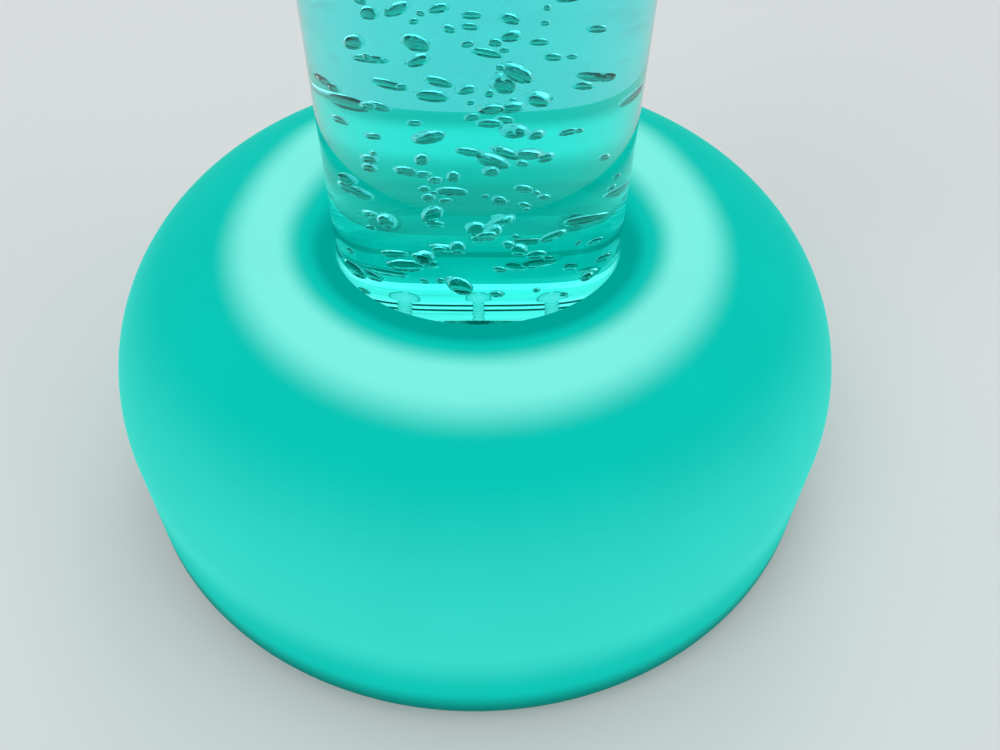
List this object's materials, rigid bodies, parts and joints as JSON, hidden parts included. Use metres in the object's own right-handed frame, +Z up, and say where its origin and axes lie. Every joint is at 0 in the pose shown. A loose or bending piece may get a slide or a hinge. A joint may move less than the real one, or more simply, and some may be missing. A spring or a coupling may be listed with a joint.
{
  "type": "bubble tube floor lamp",
  "caption": "Floor lamp with a glowing ring-shaped base and a clear, water-filled tube in which air bubbles rise through coloured light, under a lift-off vented cap.",
  "frame": {"origin": "on the floor under the tube's axis, in the plane of the feet", "axes": "+Z up the tube; +Y to the back, where the power inlet and the push button are; +X to the right seen from the front"},
  "size_m": [0.404, 0.4038, 1.2],
  "materials": {
    "glowing_shell": "satin translucent polyethylene, lit from inside",
    "clear_acrylic": "polished clear acrylic",
    "clear_plug": "machined clear acrylic, lit from below",
    "water": "clear water in coloured light",
    "lamp": "lit lamp under clear resin",
    "white_plastic": "satin moulded",
    "black_plastic": "satin moulded",
    "grey_plastic": "fine texture moulded",
    "rubber": "matte moulded",
    "clear_silicone": "satin translucent silicone",
    "hose_fitting": "satin moulded",
    "white_board": "white solder mask",
    "green_board": "green solder mask",
    "steel": "zinc plated",
    "core_steel": "bare laminated steel",
    "copper_coil": "enamelled copper winding",
    "brass_stand": "turned brass"
  },
  "bodies": {
    "root": {"base_shell": "glowing_shell", "bottom_plate": "black_plastic", "rubber_feet": "rubber", "plate_screws": "steel", "tube_cradle": "white_plastic", "cradle_screws": "steel", "tube_cup": "white_plastic", "tube_pad": "rubber", "grip_ring": "rubber", "clamp_ring": "white_plastic", "clamp_screws": "steel", "bubble_tube": "clear_acrylic", "tube_plug": "clear_plug", "plug_seals": "rubber", "gallery_gasket": "rubber", "gallery_plate": "clear_plug", "gallery_screws": "steel", "air_outlets": "clear_silicone", "air_inlet": "hose_fitting", "water_column": "water", "uplight_board": "white_board", "uplight_leds": "lamp", "uplight_screws": "steel", "glow_board": "white_board", "glow_leds": "lamp", "pump_base": "grey_plastic", "pump_cover": "grey_plastic", "pump_feet": "rubber", "pump_core": "core_steel", "pump_coil": "copper_coil", "pump_chamber": "hose_fitting", "pump_diaphragm": "rubber", "pump_pivot": "steel", "pump_screws": "steel", "pump_hose": "clear_silicone", "valve_body": "hose_fitting", "valve_cap": "hose_fitting", "valve_clip": "white_plastic", "tube_hose": "clear_silicone", "power_inlet": "black_plastic", "inlet_nut": "steel", "button_body": "black_plastic", "button_nut": "steel", "control_board": "green_board", "board_parts": "black_plastic", "board_stands": "brass_stand", "board_screws": "steel"},
    "cap": {"top_cap": "white_plastic", "cap_seal": "rubber"},
    "button": {"push_button": "white_plastic"},
    "armature": {"pump_armature": "core_steel"},
    "poppet": {"valve_poppet": "rubber"}
  },
  "joints": [
    {"name": "cap_lift", "type": "slide", "parent": "root", "child": "cap", "axis": [0, 0, 1], "range_m": [0, 0.06]},
    {"name": "button_press", "type": "slide", "parent": "root", "child": "button", "axis": [0, -1, 0], "range_m": [0, 0.0012], "stiffness_N_per_m": 800, "springref_m": -0.001},
    {"name": "armature_swing", "type": "hinge", "parent": "root", "child": "armature", "pos_m": [-0.12857, 0.033, 0.04525], "axis": [1, 0, 0], "range_deg": [-1.5, 1.5], "stiffness_Nm_per_rad": 2, "deforming": ["pump_diaphragm"]},
    {"name": "poppet_lift", "type": "slide", "parent": "root", "child": "poppet", "axis": [1, 0, 0], "range_m": [0, 0.001], "stiffness_N_per_m": 50, "springref_m": -0.0002}
  ]
}
